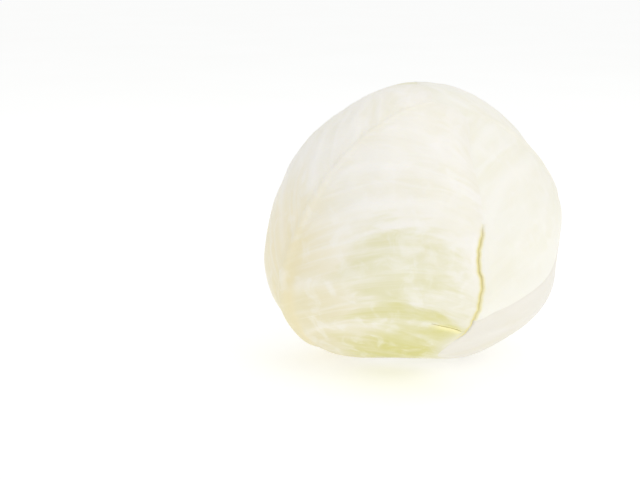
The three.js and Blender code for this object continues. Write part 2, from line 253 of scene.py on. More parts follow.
stump_finish, wire = new_finish("stump_flesh")
spot = wire.node("ShaderNodeTexCoord", {}, {}, "Object")
cut_middle = (HEAD_CENTRE + STEM_CUT * STEM) * MM
from_middle = spot.distance(tuple(cut_middle))
grain = spot.noise(900, 3.0, 0.6)
cloud = spot.noise(160, 3.0, 0.55)
dried_rim = (from_middle + (cloud - 0.5) * 0.006).step(0.011, 0.0165)
pith = 1 - (from_middle + (grain - 0.5) * 0.002).step(0.006, 0.0085)
flesh_rings = (from_middle * 2400 + cloud * 5).sine() * 0.5 + 0.5
colour = dried_rim.blend(paint(226, 219, 180), paint(205, 186, 132))
colour = (flesh_rings * 0.35).blend(colour, paint(214, 201, 150))
colour = (pith * 0.7).blend(colour, paint(238, 234, 209))
colour = ((cloud - 0.35).step(0.1, 0.4) * dried_rim * 0.6).blend(colour, paint(184, 152, 98))
close_finish(wire, colour, roughness=grain * 0.2 + 0.5, height=grain * 0.5 + flesh_rings * 0.35 + cloud * 0.3,
             subsurface=0.15, depth=0.0015, rise=0.0004)
stem.data.materials.append(stump_finish)
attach(stem, "root")
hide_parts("stem")

# ---- Vessel ends --------------------------------------------------------------------------
# The sap vessels come out on the cut face as a ring of hard fibre ends, which stand a little
# proud once the flesh between them has dried and sunk. They grow one golden angle after another.

VESSELS = 84
VESSEL_RING_INNER = 9.2
VESSEL_RING_OUTER = 13.4
VESSEL_SIZE = 0.5        # half a middling vessel's width
VESSELS_SUNK = 0.3       # from the stem's plain cut down to the middle of each end
GOLDEN_TURN = 137.508

tree = bpy.data.node_groups.new("vessel_ends", "GeometryNodeTree")
tree.interface.new_socket("Geometry", in_out="OUTPUT", socket_type="NodeSocketGeometry")
inputs = {}
for name, kind in (("Count", "NodeSocketInt"), ("Inner Radius", "NodeSocketFloat"),
                   ("Outer Radius", "NodeSocketFloat"), ("Vessel Size", "NodeSocketFloat")):
    inputs[name] = tree.interface.new_socket(name, in_out="INPUT", socket_type=kind).identifier
wire = Wire(tree)
given = {name: wire.node("NodeGroupInput", {}, {}, name) for name in inputs}
index = wire.node("GeometryNodeInputIndex")
turn = (index + 1) * math.radians(GOLDEN_TURN)
place_chance, size_chance = (
    wire.node("FunctionNodeRandomValue", {"data_type": "FLOAT"},
              {"Min_001": 0.0, "Max_001": 1.0, "Seed": seed}, 1)
    for seed in (4, 9))
reach = given["Inner Radius"] + (given["Outer Radius"] - given["Inner Radius"]) * place_chance
spot = wire.node("ShaderNodeCombineXYZ", {}, {
    "X": reach * turn.maths("COSINE", turn), "Y": reach * turn.sine(), "Z": 0.0})
points = wire.node("GeometryNodePoints", {}, {"Count": given["Count"], "Position": spot})
bead = wire.node("GeometryNodeMeshIcoSphere", {}, {"Radius": 1.0, "Subdivisions": 3})
size = given["Vessel Size"] * (0.6 + 0.7 * size_chance)
flattened = wire.node("ShaderNodeCombineXYZ", {}, {"X": size * 1.5, "Y": size, "Z": size * 0.5})
outward = wire.node("ShaderNodeCombineXYZ", {}, {"X": 0.0, "Y": 0.0, "Z": turn})
beads = wire.node("GeometryNodeInstanceOnPoints", {}, {
    "Points": points, "Instance": bead, "Scale": flattened, "Rotation": outward})
whole = wire.node("GeometryNodeRealizeInstances", {}, {"Geometry": beads})
vessel_finish, fibre = new_finish("vessel_fibre")
place = fibre.node("ShaderNodeTexCoord", {}, {}, "Object")
speckle = place.noise(2600, 3.0, 0.6)
tone = place.noise(300, 2.0).step(0.35, 0.65).blend(paint(206, 190, 138), paint(176, 150, 96))
close_finish(fibre, tone, roughness=speckle * 0.2 + 0.55, height=speckle,
             subsurface=0.0, depth=0.001, rise=0.0002)
dressed = wire.node("GeometryNodeSetMaterial", {}, {"Geometry": whole, "Material": vessel_finish})
wire.node("NodeGroupOutput", {}, {"Geometry": dressed})
vessels = bpy.data.objects.new("stem_vessels", bpy.data.meshes.new("stem_vessels_base"))
bpy.context.collection.objects.link(vessels)
grower = vessels.modifiers.new("vessel_ends", "NODES")
grower.node_group = tree
for name, value in (("Count", VESSELS), ("Inner Radius", VESSEL_RING_INNER * MM),
                    ("Outer Radius", VESSEL_RING_OUTER * MM), ("Vessel Size", VESSEL_SIZE * MM)):
    grower[inputs[name]] = value
grown = bpy.data.meshes.new_from_object(vessels.evaluated_get(bpy.context.evaluated_depsgraph_get()))
vessels.modifiers.clear()
face_middle = (HEAD_CENTRE + (STEM_CUT - VESSELS_SUNK) * STEM) * MM
onto_face = Matrix((STEM_SIDE, FRONT, STEM)).transposed().to_4x4()
grown.transform(Matrix.Translation(face_middle) @ onto_face)
grown.polygons.foreach_set("use_smooth", [True] * len(grown.polygons))
vessels.data = grown
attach(vessels, "root")

# ---- Heart --------------------------------------------------------------------------------
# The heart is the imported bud: dozens of folded leaves pressed into one firm body round the
# core. The wrapper leaves lie on it, and it takes the form that they show outside, so the
# head's form and the outline of every wrapper leaf are worked out here.

HEAD_RADIUS = 85
BULGES = [   # azimuth, elevation, height, spread in degrees round the head and up it
    (-173, -28, 10.6, 34, 19),
    (-6, -27, 8.2, 36, 13),
    (2, 9, 5, 38, 11),
    (50, 76, 3.2, 20, 22),
    (160, 58, -3.3, 30, 12),
    (174, 27, -1.8, 30, 14),
    (-20, -68, 4.6, 20, 15),
    (-74, -72, -6.6, 14, 11),
    (-150, -52, 4.3, 18, 8.5),
]
RESTING_BLEND = 0.5  # how sharply the skin turns into the flat spot, in millimetres
UNDERSIDE = -0.2     # directions that point less far down than this never meet the table
STEM_HOLLOW = 11
STEM_HOLLOW_SPREAD = 12
SKIN_EASE = 0.25     # the finer skin lies this far inside the plain solids' skin
FIRST_TURN = 55.8    # degrees from the front round to the outermost leaf's midrib
LEAF_BASE = 12       # degrees from the stem to where a leaf leaves it
BLADE = 0.8          # a leaf's thickness
SOFT_BLADE = 0.05    # the share of it that is left along a margin that can't be seen
SOFT_RAMP = 15       # how far in from such a margin the blade is whole
SOFT_BESIDE = 26     # how far off such a margin the veins beside it reach their full height
CRACK_GROOVE = 0.15  # how much of a leaf's thickness the leaf below is pressed more along a crack
OUTLINE_STEPS = 240  # points on each leg of a leaf's outline
BATCH = 4000         # places that are looked up at a time, to save memory
LEAF_GAP = 0.35
HEART_GAP = 0.35
HEART_TURNS = (190, 327.5, 105, 242.5, 20)   # degrees round the stem to the midribs of its own leaves
HEART_STEP = 1.0     # how far each of them stands over the next
HEART_STEP_WIDTH = 1.6
HEART_SIDES = 180
HEART_ROWS = 110
SOCKET = STEM_CONE + 1.2   # degrees from the stem's middle line to the side of the hole for the core

# A margin is a list of (station, theta, angle): the station runs from 0 at the leaf's base to 1
# at its tip, theta is counted from the stem and the angle from the leaf's own midrib. A push says
# how far forward the veins bow, in degrees, as (station, push). Across a leaf, places run from -1
# at its left margin over 0 at its midrib to 1 at its right margin.
PLAIN_PUSH = [(0, 3.2), (0.3, 30), (0.6, 24), (0.85, 10), (1, 12)]
PLAIN_RIGHT = [(0, 12, 62), (0.1, 28, 86), (0.25, 52, 95), (0.42, 80, 93), (0.6, 106, 88),
               (0.78, 132, 80), (0.9, 146, 72), (1, 156, 62)]
PLAIN_LEFT = [(station, theta, -angle) for station, theta, angle in PLAIN_RIGHT]


def along_knots(knots, station):
    """A smooth line through knots of a station and a value, read at many stations."""
    knots = np.asarray(knots, dtype=float)
    k = np.searchsorted(knots[1:-1, 0], station, side="left")
    before, here, there, after = (knots[np.clip(k + step, 0, len(knots) - 1)] for step in (-1, 0, 1, 2))
    u = np.clip((station - here[..., 0]) / (there[..., 0] - here[..., 0]), 0, 1)[..., None]
    p, a, b, n = (row[..., 1:] for row in (before, here, there, after))
    return a + 0.5 * u * (b - p + u * (2 * p - 5 * a + 4 * b - n + u * (3 * (a - b) + n - p)))


def turned(vectors, axis, degrees):
    """Vectors turned about an axis, each by its own angle."""
    angle = np.radians(degrees)[..., None]
    along = (vectors @ axis)[..., None] * axis
    return along + (vectors - along) * np.cos(angle) + np.cross(axis, vectors) * np.sin(angle)


def smooth_min(a, b, blend):
    """The lower of two heights, with the corner where they cross rounded off."""
    near = np.maximum(blend - np.abs(a - b), 0) / blend
    return np.minimum(a, b) - near * near * blend / 4


def skin_radius(d):
    """The head's outer form: millimetres from the centre in each direction."""
    radius = HEAD_RADIUS - STEM_HOLLOW * np.exp((d @ STEM - 1) / math.radians(STEM_HOLLOW_SPREAD) ** 2)
    for azimuth, elevation, height, spread_round, spread_up in BULGES:
        ahead = d @ from_angles(azimuth, elevation)
        near = np.maximum(ahead, 1e-6)
        turn = np.arctan2(d @ from_angles(azimuth + 90, 0), near) / math.radians(spread_round)
        rise = np.arctan2(d @ from_angles(azimuth, elevation + 90), near) / math.radians(spread_up)
        radius += height * np.exp(-(turn ** 2 + rise ** 2) / 2) * smoothstep(ahead, 0, 0.3)
    return radius - SKIN_EASE


def on_floor(d, radius, depth):
    """A height over the head's centre, kept above the surface that the head stands on."""
    free = d[:, 2] > UNDERSIDE
    table = (HEAD_CENTRE[2] - depth) / -np.where(free, -1, d[:, 2])
    return np.where(free, radius, smooth_min(radius, table, RESTING_BLEND))


def bumps(d, size, seed):
    """Smooth waves between about -1 and 1, each as wide as the size in millimetres."""
    points = d * (HEAD_RADIUS / size) + np.array([seed, -seed, 2.3 * seed])
    return np.array([noise.noise(Vector(point)) for point in points])


class Leaf:
    """A wrapper leaf's outline on the head, as directions from the head's centre. What lies under
    it is pressed down as far as `reach` beyond its edge, and less and less over `fade` more. Along
    `soft` stretches of its margin it thins out so that no edge shows, and along the `crack`
    it stands open."""

    def __init__(self, turn, tip, wave, right, left, push_right, push_left,
                 tear=None, slit=None, reach=0.6, fade=5.0, soft=(), crack=None):
        self.turn, self.tip, self.wave = turn, tip, wave
        self.right, self.left = right, left
        self.push_right, self.push_left = push_right, push_left
        self.tear, self.slit = tear, slit
        self.reach, self.fade = reach, fade
        self.soft, self.crack = soft, crack
        self.rib = turned(FRONT[None], STEM, np.array([FIRST_TURN - turn]))[0]
        self.side = np.cross(self.rib, STEM)
        self.trace_outline()

    def place(self, theta, angle):
        """The direction so many degrees from the stem and so many round from the midrib."""
        t, a = np.radians(theta)[..., None], np.radians(angle)[..., None]
        return STEM * np.cos(t) + self.rib * (np.sin(t) * np.cos(a)) + self.side * (np.sin(t) * np.sin(a))

    def margin(self, station, hand):
        """The waved and slightly frayed margin, right for a hand of 1 and left for -1."""
        knots = self.right if hand > 0 else self.left
        theta, angle = along_knots(knots, station).T
        wave = self.wave[0 if hand > 0 else 1] * np.sin(2 * np.pi * (5.5 * station + self.turn / 90))
        fray = 0.2 * np.sin(2 * np.pi * 19 * station + hand) + 0.14 * np.sin(2 * np.pi * 43 * station + 2)
        return self.place(theta, angle + hand * (wave + fray) * np.sin(np.pi * station))

    def point(self, station, across):
        """The direction at a station along the midrib and a place across, from -1 to 1."""
        d = np.empty((len(station), 3))
        for hand, push in ((1, self.push_right), (-1, self.push_left)):
            at = across >= 0 if hand > 0 else across < 0
            s, t = station[at], np.abs(across[at])[:, None]
            start = self.place(LEAF_BASE + (self.tip - LEAF_BASE) * s, 0 * s)
            end = self.margin(s, hand)
            bow = turned(unit(start + end), self.side, -along_knots(push, s)[:, 0])
            d[at] = unit(start * (1 - t) ** 2 + bow * 2 * t * (1 - t) + end * t * t)
        if self.tear:
            left = across < 0
            s, v = station[left], d[left]
            angle = np.degrees(np.arctan2(v @ self.side, v @ self.rib))
            rise = sum(lift * np.exp(-((angle - middle) / width) ** 2)
                       for middle, lift, width in self.tear["bows"])
            near = np.exp(-((s - self.tear["station"]) / self.tear["reach"]) ** 2)
            d[left] = turned(v, self.side, -rise * near)
        return d

    def trace_outline(self):
        """Walks round the edge once, and lays it out flat round the middle of the leaf."""
        corners = [(0, -1), (0, 1), (1, 1), (1, -1)]
        if self.tear:
            flank, torn = self.tear["flank"], self.tear["station"]
            corners = [(0, -flank), (0, 1), (1, 1), (1, -1), (torn, -1), (torn, -flank)]
        steps = np.linspace(0, 1, OUTLINE_STEPS, endpoint=False)
        legs = [np.outer(1 - steps, corner) + np.outer(steps, corners[(k + 1) % len(corners)])
                for k, corner in enumerate(corners)]
        self.edge_at = np.vstack(legs)
        self.edge = self.point(*self.edge_at.T)
        self.middle = self.place(np.array(92.0), np.array(0.0))    # half-way up the midrib
        self.up = self.place(np.array(182.0), np.array(0.0))
        self.tree = kdtree.KDTree(len(self.edge))
        for k, point in enumerate(self.edge):
            self.tree.insert(Vector(point), k)
        self.tree.balance()
        self.flat_edge = self.flat(self.edge)

    def flat(self, d):
        """Directions laid flat round the leaf's middle, each at its true distance from it."""
        off = unit(d - np.outer(d @ self.middle, self.middle) + 1e-12)
        reach = np.arccos(np.clip(d @ self.middle, -1, 1))[:, None] * off
        return np.stack([reach @ self.side, reach @ self.up], axis=1)

    def edge_distance(self, d):
        """Millimetres from the outline, below zero under the leaf, and (station, across) there."""
        nearest = np.array([self.tree.find(Vector(point))[1] for point in d])
        count = len(self.edge)
        best = np.full(len(d), np.inf)
        for step in (-1, 0):
            a, b = self.edge[(nearest + step) % count], self.edge[(nearest + step + 1) % count]
            run = b - a
            part = np.clip(np.einsum("ij,ij->i", d - a, run) / np.einsum("ij,ij->i", run, run), 0, 1)
            best = np.minimum(best, np.linalg.norm(d - a - run * part[:, None], axis=1))
        x1, y1 = self.flat_edge.T
        x2, y2 = np.roll(self.flat_edge, -1, axis=0).T
        lean = (x2 - x1) / np.where(y2 == y1, 1e-12, y2 - y1)
        inside = np.empty(len(d), dtype=bool)
        for start in range(0, len(d), BATCH):
            x, y = (column[:, None] for column in self.flat(d[start:start + BATCH]).T)
            crossed = ((y1 > y) != (y2 > y)) & (x < lean * (y - y1) + x1)
            inside[start:start + BATCH] = crossed.sum(axis=1) % 2 == 1
        return np.where(inside, -1, 1) * best * HEAD_RADIUS, self.edge_at[nearest]

    def softness(self, at):
        """1 where the margin lies so close that it can't be seen, and 0 where it shows."""
        hidden = np.zeros(len(at))
        for start, full in self.soft:
            hidden = np.maximum(hidden, smoothstep(at[:, 0], start, full))
        hidden *= np.maximum(smoothstep(at[:, 1], -0.7, 0.3), smoothstep(at[:, 0], 0.75, 0.9))
        return np.maximum(hidden, 0.6 * self.torn(at))

    def crispness(self, at):
        """1 along the stretch of margin that was torn or cracked."""
        if not self.crack:
            return np.zeros(len(at))
        start, end = self.crack
        open_there = smoothstep(at[:, 0], start, start + 0.012) * (1 - smoothstep(at[:, 0], end - 0.06, end))
        return open_there * (at[:, 1] > 0.9)

    def torn(self, at):
        """Whether each place on the margin is where the leaf was torn."""
        if not self.tear:
            return np.zeros(len(at), dtype=bool)
        return (at[:, 1] < -0.15) & (at[:, 0] <= self.tear["station"] + 0.001)

    def cover(self, d):
        """How much the leaf presses on what lies under it, how far off its edge is, and how crisp
        and how soft that edge is."""
        distance, at = self.edge_distance(d)
        soft = self.softness(at)
        firm = 1 - smoothstep(distance, self.reach, self.reach + self.fade)
        eased = (SOFT_BLADE * (1 - smoothstep(distance, 0, 1.5))
                 + (1 - SOFT_BLADE) * smoothstep(-distance, 0, SOFT_RAMP))
        crisp = self.crispness(at)
        groove = CRACK_GROOVE * crisp * np.exp(-((distance - 0.1) / 0.7) ** 2)
        return firm + (eased - firm) * soft + groove, distance, crisp, soft

    def own_blade(self, distance, at):
        """The blade's thickness inside the outline."""
        share = SOFT_BLADE + (1 - SOFT_BLADE) * smoothstep(-distance, 0, SOFT_RAMP)
        return BLADE * (1 + (share - 1) * self.softness(at))


front_outline = Leaf(
    turn=0, tip=192, wave=(0.3, 1.5),
    right=[(0, 12, 58), (0.06, 22, 79), (0.13, 36, 84), (0.2, 52, 73), (0.25, 64.5, 64.7), (0.28, 73, 68.3),
           (0.3, 80.3, 75.8), (0.35, 88.5, 78.9), (0.39, 95.5, 80.3), (0.43, 103.5, 82.2),
           (0.48, 113.4, 83.5), (0.56, 124, 89.8), (0.68, 132, 95), (0.78, 138, 98), (0.9, 146, 105),
           (1, 153, 117)],
    left=[(0, 12, -58), (0.08, 25, -80), (0.2, 50, -86), (0.35, 80, -85), (0.5, 105, -84),
          (0.68, 128, -90), (0.85, 143, -101), (1, 153, -117)],
    push_right=[(0, 3.2), (0.1, 22), (0.2, 41), (0.3, 52), (0.48, 34), (0.78, 8), (1, 14)],
    push_left=PLAIN_PUSH,
    slit={"station": 0.3002, "opening": 0.0008, "from": 0.8, "to": 0.965},
    reach=0.3, fade=1.4, soft=((0.54, 0.58), (0.294, 0.28)), crack=(0.286, 0.575))
right_outline = Leaf(
    turn=156, tip=176, wave=(1.5, 0), right=PLAIN_RIGHT,
    left=[(0, 12, -60), (0.15, 30, -90), (0.3, 50, -95), (0.45, 74, -95), (0.6, 100, -95),
          (0.75, 122, -92), (0.88, 142, -80), (1, 157, -62)],
    push_right=PLAIN_PUSH, push_left=[(0, 4), (0.45, 4), (0.62, 24), (0.85, 10), (1, 12)],
    tear={"station": 0.5, "flank": 0.203, "bows": [(-36, -8.3, 18), (-70, 2.4, 7)], "reach": 0.06},
    reach=0.3, fade=2.4, soft=((0.74, 0.84),))
left_outline = Leaf(
    turn=275, tip=174, wave=(1.5, 1.5), right=PLAIN_RIGHT, left=PLAIN_LEFT,
    push_right=PLAIN_PUSH, push_left=PLAIN_PUSH)
inner_outline = Leaf(
    turn=52.5, tip=172, wave=(1.5, 1.5),
    right=[(0, 12, 84), (0.1, 26, 98), (0.25, 50, 100), (0.42, 80, 99), (0.6, 106, 92),
           (0.78, 132, 80), (0.9, 146, 72), (1, 156, 62)],
    left=PLAIN_LEFT, push_right=[(0, 6)] + PLAIN_PUSH[1:], push_left=PLAIN_PUSH)


def pressed_depth(d, outer_leaves):
    """How far down the outer leaves press a surface, and how much relief it shows beside them."""
    depth, hidden = np.zeros(len(d)), np.zeros(len(d))
    for leaf in outer_leaves:
        amount, off, _, soft = leaf.cover(d)
        depth += amount * (BLADE + LEAF_GAP)
        hidden = np.maximum(hidden, np.maximum(amount, soft * (1 - smoothstep(off, 0, SOFT_BESIDE))))
    return depth, 1 - np.clip(hidden, 0, 1)


turns = np.linspace(0, 2 * np.pi, HEART_SIDES, endpoint=False)
thetas = np.radians(np.linspace(SOCKET, 180, HEART_ROWS, endpoint=False))
theta, turn = (grid.ravel() for grid in np.meshgrid(thetas, turns, indexing="ij"))
d = (np.cos(theta)[:, None] * STEM + (np.sin(theta) * np.cos(turn))[:, None] * FRONT
     + (np.sin(theta) * np.sin(turn))[:, None] * STEM_SIDE)
d = np.vstack([d, -STEM])
depth, _ = pressed_depth(d, [front_outline, right_outline, left_outline, inner_outline])
steps = np.zeros(len(d))
for leaf_turn in HEART_TURNS:
    folded = Leaf(turn=leaf_turn, tip=170, wave=(1.5, 1.5), right=PLAIN_RIGHT, left=PLAIN_LEFT,
                  push_right=PLAIN_PUSH, push_left=PLAIN_PUSH)
    steps += smoothstep(folded.edge_distance(d)[0], 0, HEART_STEP_WIDTH)
surface = on_floor(d, skin_radius(d) - depth, depth) - HEART_GAP - HEART_STEP * steps
shell = HEAD_CENTRE + d * surface[:, None]
# The hole that the core fills, from its tip out to the first ring of the shell.
tip = CORE_TIP - HEART_GAP
lining = d[:HEART_SIDES]
deep_ring = HEAD_CENTRE + lining * (tip / math.cos(math.radians(SOCKET)))
middle_ring = HEAD_CENTRE + lining * ((tip + surface[:HEART_SIDES]) / 2)[:, None]
heart_rings = [deep_ring, middle_ring] + list(shell[:-1].reshape(HEART_ROWS, HEART_SIDES, 3))
heart = ring_object("heart_body", HEAD_CENTRE + tip * STEM, heart_rings, shell[-1])

heart_finish, wire = new_finish("heart_flesh")
spot = wire.node("ShaderNodeTexCoord", {}, {}, "Object")
cloud = spot.noise(40, 3.0, 0.5)
streak = spot.scaled((1, 1, 0.25)).noise(420, 2.0, 0.6)
colour = cloud.step(0.35, 0.7).blend(paint(240, 236, 205), paint(231, 230, 178))
colour = (streak * 0.3).blend(colour, paint(249, 247, 232))
close_finish(wire, colour, roughness=streak * 0.15 + 0.4, height=streak * 0.6 + cloud * 0.4,
             subsurface=0.3, depth=0.003, rise=0.0003)
heart.data.materials.append(heart_finish)
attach(heart, "root")
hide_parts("heart")

# ---- Inner leaf ---------------------------------------------------------------------------
# The fourth wrapper leaf in: never in the light, so it is the whitest, with a lilac cast. Like
# every wrapper leaf it is a thin waxy blade on a thick midrib that leaves the stem low down
# and reaches over the head, held by its own grip and the leaf above it.

RIB_HEIGHT = 4.2         # the midrib at the leaf's base, and below at its tip
RIB_HEIGHT_TIP = 0.4
RIB_HALF_WIDTH = 13
RIB_HALF_WIDTH_TIP = 3
RIB_TINT = 0.8           # how much of the rib's colour the blade has round it,
STRIPE_TINT = 0.85       # and in the stripe that follows its right side
STRIPE_OFF_RIB = 9
STRIPE_WIDTH = 6
VEINS_A_SIDE = 7
VEIN_HEIGHT = 0.65
THIN_VEIN_HEIGHT = 0.2
FORK_SPREAD = 0.14       # how far a vein's two ends part, as a share of the way between two veins
MARGIN_THINNING = 0.2
RIPPLE = 13              # how wide the skin's low waves are, and below its small ones
SMALL_RIPPLE = 6
CRUMPLED = from_angles(-137, 50)    # where the head was pressed and its skin buckled a little
CRUMPLED_SPREAD = 24
CROWN_EASE = 0.6         # the drawn skin lies this much lower over the crown, and below at the back
BACK_EASE = 0.3
ROWS = 180
COLUMNS = 170
FINE_BAND = 4.5          # the mesh is finer this near to an edge that shows


def relief(station, across, from_rib, turn):
    """How far the midrib and the side veins stand up, and where the veins and the rib are tinted."""
    left = 1 - station
    rib_width = RIB_HALF_WIDTH_TIP + (RIB_HALF_WIDTH - RIB_HALF_WIDTH_TIP) * left ** 1.2
    rib_height = RIB_HEIGHT_TIP + (RIB_HEIGHT - RIB_HEIGHT_TIP) * left ** 1.6
    rib = np.maximum(0, 1 - (from_rib / rib_width) ** 2) ** 2
    band = RIB_TINT * np.exp(-(from_rib / (6 + 1.1 * rib_width)) ** 2)
    band *= 1 - 0.9 * smoothstep(station, 0.25, 0.5)
    stripe = STRIPE_TINT * np.exp(-((from_rib * np.sign(across) - STRIPE_OFF_RIB) / STRIPE_WIDTH) ** 2)
    stripe *= 1 - smoothstep(station, 0.4, 0.65)
    out = np.abs(across)
    wander = (0.06 * np.sin(2 * np.pi * (1.3 * across + 2.1 * station) + turn)
              + 0.04 * np.sin(2 * np.pi * (2.9 * across - 3.7 * station) + 1.7 * turn))
    turns = station * VEINS_A_SIDE + np.where(across < 0, 0.5, 0) + wander * smoothstep(out, 0.05, 0.3)
    number = np.round(turns)
    fork = FORK_SPREAD * smoothstep(out, 0.32 + 0.14 * np.sin(7 * number + turn), 0.95)
    off = np.abs(np.abs(turns - number) - fork)
    off_half = np.abs(turns + 0.5 - np.round(turns + 0.5))
    ends = smoothstep(station, 0.02, 0.12) * (1 - smoothstep(station, 0.85, 1))
    taper = (1 - out) ** 0.7 * smoothstep(out, 0.0, 0.12)
    uneven = 0.85 + 0.3 * np.sin(2 * np.pi * (1.6 * out + 0.37 * number) + turn)
    vein = ends * taper * uneven * np.exp(-(off / (0.06 + 0.09 * taper)) ** 2)
    thin_vein = ends * taper * np.exp(-(off_half / 0.04) ** 2)
    height = np.maximum(rib_height * rib, VEIN_HEIGHT * vein + THIN_VEIN_HEIGHT * thin_vein)
    return height, np.clip(np.maximum(vein, 0.6 * thin_vein), 0, 1), np.maximum(band, stripe)


def leaf_plan(leaf, outer_leaves):
    """The leaf laid flat by station and place across, with smaller faces near visible edges."""
    stations = np.linspace(0, 1, ROWS + 1)
    even = np.linspace(-1, 1, COLUMNS + 1)
    places = np.sign(even) * np.abs(even) ** 1.05
    row_lines, column_lines = [], []
    if leaf.tear:
        row_lines, column_lines = [leaf.tear["station"]], [-leaf.tear["flank"]]
    if leaf.slit:
        half = leaf.slit["opening"] / 2
        row_lines = [leaf.slit["station"] - half, leaf.slit["station"] + half]
        column_lines = [leaf.slit["from"], leaf.slit["to"]]
    # Lines that would lie too close to those of the tear and the slit are left out.
    stations = [s for s in stations if all(abs(s - line) > 0.4 / ROWS for line in row_lines)]
    places = [a for a in places if all(abs(a - line) > 0.8 / COLUMNS for line in column_lines)]
    stations, places = np.sort(stations + row_lines), np.sort(places + column_lines)
    plan = bmesh.new()
    grid = [[plan.verts.new((s, a, 0)) for a in places] for s in stations]
    for row in range(len(stations) - 1):
        for column in range(len(places) - 1):
            s = (stations[row] + stations[row + 1]) / 2
            a = (places[column] + places[column + 1]) / 2
            if leaf.tear and s < leaf.tear["station"] and a < -leaf.tear["flank"]:
                continue
            if leaf.slit and abs(s - leaf.slit["station"]) < half and leaf.slit["from"] < a < leaf.slit["to"]:
                continue
            plan.faces.new((grid[row][column], grid[row][column + 1],
                            grid[row + 1][column + 1], grid[row + 1][column]))
    bmesh.ops.delete(plan, geom=[v for v in plan.verts if not v.link_faces], context="VERTS")
    flat = np.array([v.co[:2] for v in plan.verts])
    d = leaf.point(*flat.T)
    near = np.zeros(len(flat), dtype=bool)
    for other in [leaf] + outer_leaves:
        distance, at = other.edge_distance(d)
        near |= ((other.crispness(at) > 0) | other.torn(at)) & (np.abs(distance) < FINE_BAND)
    if leaf.slit:
        near |= (np.abs(flat[:, 0] - leaf.slit["station"]) < 0.016) & (flat[:, 1] > leaf.slit["from"] - 0.03)
    plan.verts.ensure_lookup_table()
    edges = [e for e in plan.edges if near[e.verts[0].index] and near[e.verts[1].index]]
    if edges:
        bmesh.ops.subdivide_edges(plan, edges=edges, cuts=2, use_grid_fill=True)
    return plan


def wrapped_leaf(name, leaf, outer_leaves, features=None):
    """The leaf's mesh: an outer and an inner face split alike, joined round the edge. Features are
    what only this leaf has: a function that gives heights and fills in the layers for colour."""
    plan = leaf_plan(leaf, outer_leaves)
    plan.verts.index_update()
    flat = np.array([v.co[:2] for v in plan.verts])
    station, across = flat.T
    d = leaf.point(station, across)
    on_rib = leaf.place(LEAF_BASE + (leaf.tip - LEAF_BASE) * station, 0 * station)
    from_rib = np.linalg.norm(d - on_rib, axis=1)
    depth, bare = pressed_depth(d, outer_leaves)
    height, vein, rib = relief(station, across, from_rib * HEAD_RADIUS, leaf.turn)
    distance, at = leaf.edge_distance(d)
    blade = leaf.own_blade(distance, at)
    thin = MARGIN_THINNING * smoothstep(np.abs(across), 0.85, 1) * (blade / BLADE)
    crumpled = np.exp((d @ CRUMPLED - 1) / math.radians(CRUMPLED_SPREAD) ** 2)
    crown, back = smoothstep(d[:, 2], 0.9, 0.98), smoothstep(d[:, 1], 0.9, 0.98)
    ripple = ((1 - 0.6 * crown) * (0.35 + 0.7 * crumpled) * bumps(d, RIPPLE, 3.7)
              + 0.14 * bumps(d, SMALL_RIPPLE, 9.1))
    calmed = 0.25 + 0.75 * smoothstep(d[:, 2], -0.7, -0.3)    # the foot is pressed smoother
    skin = skin_radius(d) - CROWN_EASE * crown - BACK_EASE * back - depth + ripple * calmed
    raised = height * bare - thin
    # The lip and the painted shade in a crack start empty; a leaf's features fill them in.
    layers = {"vein": vein, "rib": rib, "lip": 0 * vein, "deep": 0 * vein}
    if features:
        raised = raised + features(leaf, d, station, across, distance, layers) * bare
    outer = HEAD_CENTRE + d * on_floor(d, skin + raised, depth)[:, None]
    inner = HEAD_CENTRE + d * (on_floor(d, skin, depth) - blade)[:, None]
    count = len(flat)
    faces = []
    for face in plan.faces:
        loop = [v.index for v in face.verts]
        faces.append(loop)
        faces.append([count + k for k in loop[::-1]])
    rim = [e for e in plan.edges if len(e.link_faces) == 1]
    sharp = set()
    for edge in rim:
        loop = edge.link_loops[0]
        start, end = loop.vert.index, loop.link_loop_next.vert.index
        faces.append([end, start, count + start, count + end])
        sharp.add(frozenset((start, end)))
        sharp.add(frozenset((count + start, count + end)))
    plan.free()
    thing = sheet_object(name, np.vstack([outer, inner]), faces,
                         **{key: np.tile(values, 2) for key, values in layers.items()})
    mesh = thing.data
    pattern = mesh.uv_layers.new(name="along_leaf")
    corners = np.empty(len(mesh.loops), dtype=np.int32)
    mesh.loops.foreach_get("vertex_index", corners)
    plan_uv = np.tile(np.stack([station, across * 0.5 + 0.5], axis=1), (2, 1))
    pattern.data.foreach_set("uv", plan_uv[corners].astype(np.float32).ravel())
    mesh.attributes.new("sharp_edge", "BOOLEAN", "EDGE")
    mesh.attributes["sharp_edge"].data.foreach_set(
        "value", [frozenset(edge.vertices) in sharp for edge in mesh.edges])
    return thing


